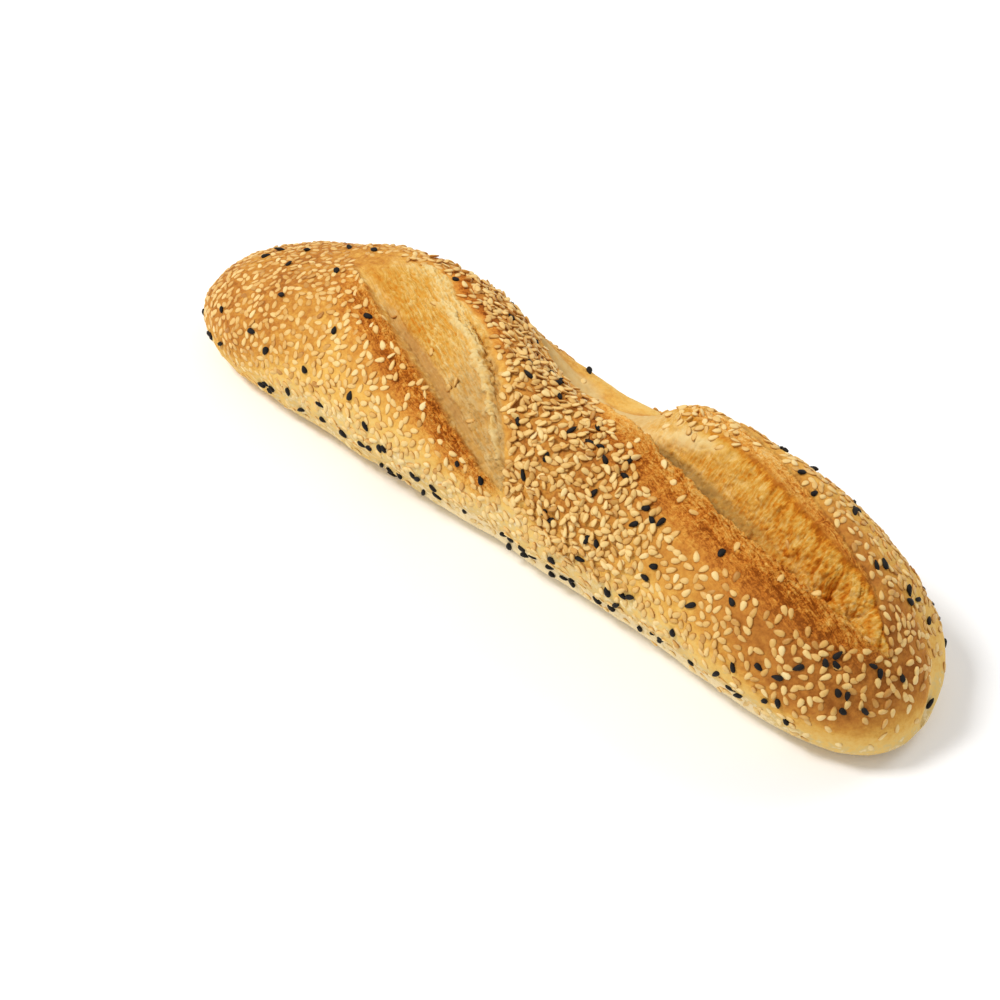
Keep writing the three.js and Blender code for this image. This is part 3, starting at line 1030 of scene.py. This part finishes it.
husk_shader.inputs["Specular IOR Level"].default_value = 0.25
husk_bump = husk.add("ShaderNodeBump", {}, {"Strength": 0.4, "Distance": 0.0002, "Height": husk_wrinkle})
dress(husk_shader, husk_bump, "Normal")
nigella.data.materials.append(nigella_finish)
nigella.data.shade_smooth()


# The set: a pale floor in a white room, and a camera at the photo's angle.
# The stronger of two soft lights stands to the camera's upper left, the other to its upper right.
FLOOR_SIZE = 6
floor_mesh = bpy.data.meshes.new("floor")
laying = bmesh.new()
bmesh.ops.create_grid(laying, x_segments=1, y_segments=1, size=FLOOR_SIZE / 2)
laying.to_mesh(floor_mesh)
laying.free()
floor = bpy.data.objects.new("floor", floor_mesh)
bpy.context.scene.collection.objects.link(floor)
floor_finish, paper, paper_shader = new_finish("pale_floor")
paper_here = paper.add("ShaderNodeTexCoord", {}, {}, "Object")
paper_grain = paper.noise(paper_here, scale=40)
paper_colour = paper_grain.ramp([
    (0, paint(252, 252, 252)),
    (1, paint(255, 255, 255)),
])
dress(paper_shader, paper_colour, "Base Color")
paper_shader.inputs["Roughness"].default_value = 0.9
paper_shader.inputs["Emission Color"].default_value = (1, 1, 1, 1)
paper_shader.inputs["Emission Strength"].default_value = 0.03
floor_mesh.materials.append(floor_finish)

AIM = Vector((-4.5, -17.35, 10.1)) * MM
AZIMUTH = math.radians(38.4)
ELEVATION = math.radians(43.04)
ROLL = math.radians(4.2)
DISTANCE = 0.68
LENS = 85.7
back = Vector((
    math.sin(AZIMUTH) * math.cos(ELEVATION),
    -math.cos(AZIMUTH) * math.cos(ELEVATION),
    math.sin(ELEVATION),
))
level = Vector((math.cos(AZIMUTH), math.sin(AZIMUTH), 0))
right = Matrix.Rotation(ROLL, 3, back) @ level
up = back.cross(right)
camera = bpy.data.objects.new("camera", bpy.data.cameras.new("camera"))
bpy.context.scene.collection.objects.link(camera)
stand = Matrix.Translation(AIM + back * DISTANCE)
turned = Matrix((right, up, back)).transposed().to_4x4()
camera.matrix_world = stand @ turned
camera.data.lens = LENS
bpy.context.scene.camera = camera


def soft_light(name, direction, distance, size, watts):
    """A square soft light that shines at the loaf from a direction."""
    lamp = bpy.data.lights.new(name, "AREA")
    lamp.size = size
    lamp.energy = watts
    holder = bpy.data.objects.new(name, lamp)
    bpy.context.scene.collection.objects.link(holder)
    holder.location = direction.normalized() * distance
    holder.rotation_euler = direction.to_track_quat("Z", "Y").to_euler()


soft_light("key", back * 0.75 + up * 0.7 - right * 0.62, distance=1.3, size=0.32, watts=10.4)
soft_light("fill", back * 0.1 + up * 0.8 + right * 0.7, distance=1.3, size=0.5, watts=3.5)
ROOM_LIGHT = 0.52
room = bpy.data.worlds.new("white_room")
bpy.context.scene.world = room
room.use_nodes = True
backdrop = room.node_tree.nodes["Background"]
backdrop.inputs["Color"].default_value = (1, 1, 1, 1)
backdrop.inputs["Strength"].default_value = ROOM_LIGHT
bpy.context.scene.view_settings.view_transform = "Standard"
